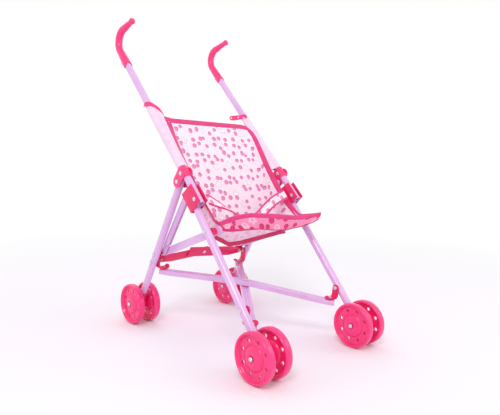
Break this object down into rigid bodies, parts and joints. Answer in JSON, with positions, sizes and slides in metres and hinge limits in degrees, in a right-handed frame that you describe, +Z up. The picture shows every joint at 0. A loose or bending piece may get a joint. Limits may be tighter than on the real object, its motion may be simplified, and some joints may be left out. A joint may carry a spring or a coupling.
{
  "type": "doll stroller",
  "caption": "Folding doll stroller with crook handles, a sling seat, crossed bars, a rear lock bar and twin wheels on each leg.",
  "frame": {"origin": "on the floor, on the centre plane, midway between the front and the rear axles", "axes": "+Z up, the stroller faces -Y, +X to the right as seen from the front"},
  "size_m": [0.269, 0.4585, 0.5594],
  "materials": {
    "pink_plastic": "moulded, glossy hot pink",
    "dark_pink_plastic": "moulded, darker pink",
    "lilac_tube": "pale pink-lilac gloss paint",
    "steel": "bright plated",
    "print_fabric": "thin woven, white with pink dots, pink binding",
    "skirt_fabric": "thin woven, pink print"
  },
  "bodies": {
    "side_left": {"front_leg_left": "lilac_tube", "front_foot_left": "pink_plastic", "front_axle_left": "steel", "handle_tube_left": "lilac_tube", "handle_grip_left": "pink_plastic", "elbow_channel_left": "pink_plastic", "leg_clamp_left": "pink_plastic", "seat_clip_left": "pink_plastic", "seat_rail_left": "lilac_tube", "seat_strut_left": "lilac_tube", "rail_spacers_left": "dark_pink_plastic", "frame_rivets_left": "steel", "seat_side_left": "print_fabric", "seat_back": "print_fabric", "seat_base": "print_fabric", "seat_skirt": "skirt_fabric", "lap_belt": "print_fabric"},
    "rear_left": {"rear_leg_left": "lilac_tube", "rear_foot_left": "pink_plastic", "rear_axle_left": "steel", "lock_lug_left": "pink_plastic", "leg_rivets_left": "steel"},
    "front_bracket_left": {"front_hook_left": "pink_plastic"},
    "rear_bracket_left": {"rear_hook_left": "pink_plastic"},
    "bar_left": {"cross_bar_left": "lilac_tube", "bar_rivets_left": "steel", "bar_spacer": "dark_pink_plastic"},
    "lever_left": {"lock_lever_left": "pink_plastic"},
    "front_outer_wheel_left": {"front_wheel_left_outer": "pink_plastic"},
    "front_inner_wheel_left": {"front_wheel_left_inner": "pink_plastic"},
    "rear_outer_wheel_left": {"rear_wheel_left_outer": "pink_plastic"},
    "rear_inner_wheel_left": {"rear_wheel_left_inner": "pink_plastic"},
    "side_right": {"front_leg_right": "lilac_tube", "front_foot_right": "pink_plastic", "front_axle_right": "steel", "handle_tube_right": "lilac_tube", "handle_grip_right": "pink_plastic", "elbow_channel_right": "pink_plastic", "leg_clamp_right": "pink_plastic", "seat_clip_right": "pink_plastic", "seat_rail_right": "lilac_tube", "seat_strut_right": "lilac_tube", "rail_spacers_right": "dark_pink_plastic", "frame_rivets_right": "steel", "seat_side_right": "print_fabric"},
    "rear_right": {"rear_leg_right": "lilac_tube", "rear_foot_right": "pink_plastic", "rear_axle_right": "steel", "lock_lug_right": "pink_plastic", "leg_rivets_right": "steel"},
    "front_bracket_right": {"front_hook_right": "pink_plastic"},
    "rear_bracket_right": {"rear_hook_right": "pink_plastic"},
    "bar_right": {"cross_bar_right": "lilac_tube", "bar_rivets_right": "steel"},
    "lever_right": {"lock_lever_right": "pink_plastic", "lock_rivet": "steel"},
    "front_outer_wheel_right": {"front_wheel_right_outer": "pink_plastic"},
    "front_inner_wheel_right": {"front_wheel_right_inner": "pink_plastic"},
    "rear_outer_wheel_right": {"rear_wheel_right_outer": "pink_plastic"},
    "rear_inner_wheel_right": {"rear_wheel_right_inner": "pink_plastic"}
  },
  "joints": [
    {"name": "fold", "type": "slide", "parent": "side_left", "child": "side_right", "axis": [-1, 0, 0], "range_m": [0, 0.13], "deforming": ["seat_back", "seat_base", "seat_skirt", "lap_belt"]},
    {"name": "rear_swing_left", "type": "hinge", "parent": "side_left", "child": "rear_left", "pos_m": [-0.11, 0.03464, 0.26686], "axis": [1, 0, 0], "range_deg": [0, 21.63]},
    {"name": "front_tilt_left", "type": "hinge", "parent": "side_left", "child": "front_bracket_left", "pos_m": [-0.11, -0.12324, 0.0892], "axis": [1, 0, 0], "range_deg": [0, 6.58]},
    {"name": "rear_tilt_left", "type": "hinge", "parent": "rear_left", "child": "rear_bracket_left", "pos_m": [-0.11, 0.11879, 0.12041], "axis": [-1, 0, 0], "range_deg": [0, 15.06]},
    {"name": "scissor_left", "type": "hinge", "parent": "front_bracket_left", "child": "bar_left", "pos_m": [-0.088, -0.12004, 0.0627], "axis": [0, -0.1392, 0.9903], "range_deg": [0, 27.11]},
    {"name": "lever_left", "type": "hinge", "parent": "rear_left", "child": "lever_left", "pos_m": [-0.092, 0.11958, 0.11902], "axis": [0, -0.8671, -0.4982], "range_deg": [0, 67.44]},
    {"name": "front_outer_spin_left", "type": "hinge", "parent": "side_left", "child": "front_outer_wheel_left", "pos_m": [-0.126, -0.167, 0.0365], "axis": [1, 0, 0], "continuous": true},
    {"name": "front_inner_spin_left", "type": "hinge", "parent": "side_left", "child": "front_inner_wheel_left", "pos_m": [-0.094, -0.167, 0.0365], "axis": [1, 0, 0], "continuous": true},
    {"name": "rear_outer_spin_left", "type": "hinge", "parent": "rear_left", "child": "rear_outer_wheel_left", "pos_m": [-0.126, 0.167, 0.0365], "axis": [1, 0, 0], "continuous": true},
    {"name": "rear_inner_spin_left", "type": "hinge", "parent": "rear_left", "child": "rear_inner_wheel_left", "pos_m": [-0.094, 0.167, 0.0365], "axis": [1, 0, 0], "continuous": true},
    {"name": "rear_swing_right", "type": "hinge", "parent": "side_right", "child": "rear_right", "pos_m": [0.11, 0.03464, 0.26686], "axis": [1, 0, 0], "range_deg": [0, 21.63]},
    {"name": "front_tilt_right", "type": "hinge", "parent": "side_right", "child": "front_bracket_right", "pos_m": [0.11, -0.12324, 0.0892], "axis": [1, 0, 0], "range_deg": [0, 6.58]},
    {"name": "rear_tilt_right", "type": "hinge", "parent": "rear_right", "child": "rear_bracket_right", "pos_m": [0.11, 0.11879, 0.12041], "axis": [-1, 0, 0], "range_deg": [0, 15.06]},
    {"name": "scissor_right", "type": "hinge", "parent": "front_bracket_right", "child": "bar_right", "pos_m": [0.088, -0.12004, 0.0627], "axis": [0, 0.1392, -0.9903], "range_deg": [0, 27.11]},
    {"name": "lever_right", "type": "hinge", "parent": "rear_right", "child": "lever_right", "pos_m": [0.092, 0.11958, 0.11902], "axis": [0, 0.8671, 0.4982], "range_deg": [0, 67.44]},
    {"name": "front_outer_spin_right", "type": "hinge", "parent": "side_right", "child": "front_outer_wheel_right", "pos_m": [0.126, -0.167, 0.0365], "axis": [1, 0, 0], "continuous": true},
    {"name": "front_inner_spin_right", "type": "hinge", "parent": "side_right", "child": "front_inner_wheel_right", "pos_m": [0.094, -0.167, 0.0365], "axis": [1, 0, 0], "continuous": true},
    {"name": "rear_outer_spin_right", "type": "hinge", "parent": "rear_right", "child": "rear_outer_wheel_right", "pos_m": [0.126, 0.167, 0.0365], "axis": [1, 0, 0], "continuous": true},
    {"name": "rear_inner_spin_right", "type": "hinge", "parent": "rear_right", "child": "rear_inner_wheel_right", "pos_m": [0.094, 0.167, 0.0365], "axis": [1, 0, 0], "continuous": true}
  ],
  "couplings": [
    {"joint": "rear_swing_left", "follows": "fold", "rad_per_m": 2.9022},
    {"joint": "front_tilt_left", "follows": "fold", "rad_per_m": 0.88171},
    {"joint": "rear_tilt_left", "follows": "fold", "rad_per_m": 2.0205},
    {"joint": "scissor_left", "follows": "fold", "rad_per_m": 3.6389},
    {"joint": "lever_left", "follows": "fold", "rad_per_m": 9.0529},
    {"joint": "rear_swing_right", "follows": "fold", "rad_per_m": 2.9022},
    {"joint": "front_tilt_right", "follows": "fold", "rad_per_m": 0.88171},
    {"joint": "rear_tilt_right", "follows": "fold", "rad_per_m": 2.0205},
    {"joint": "scissor_right", "follows": "fold", "rad_per_m": 3.6389},
    {"joint": "lever_right", "follows": "fold", "rad_per_m": 9.0529}
  ]
}
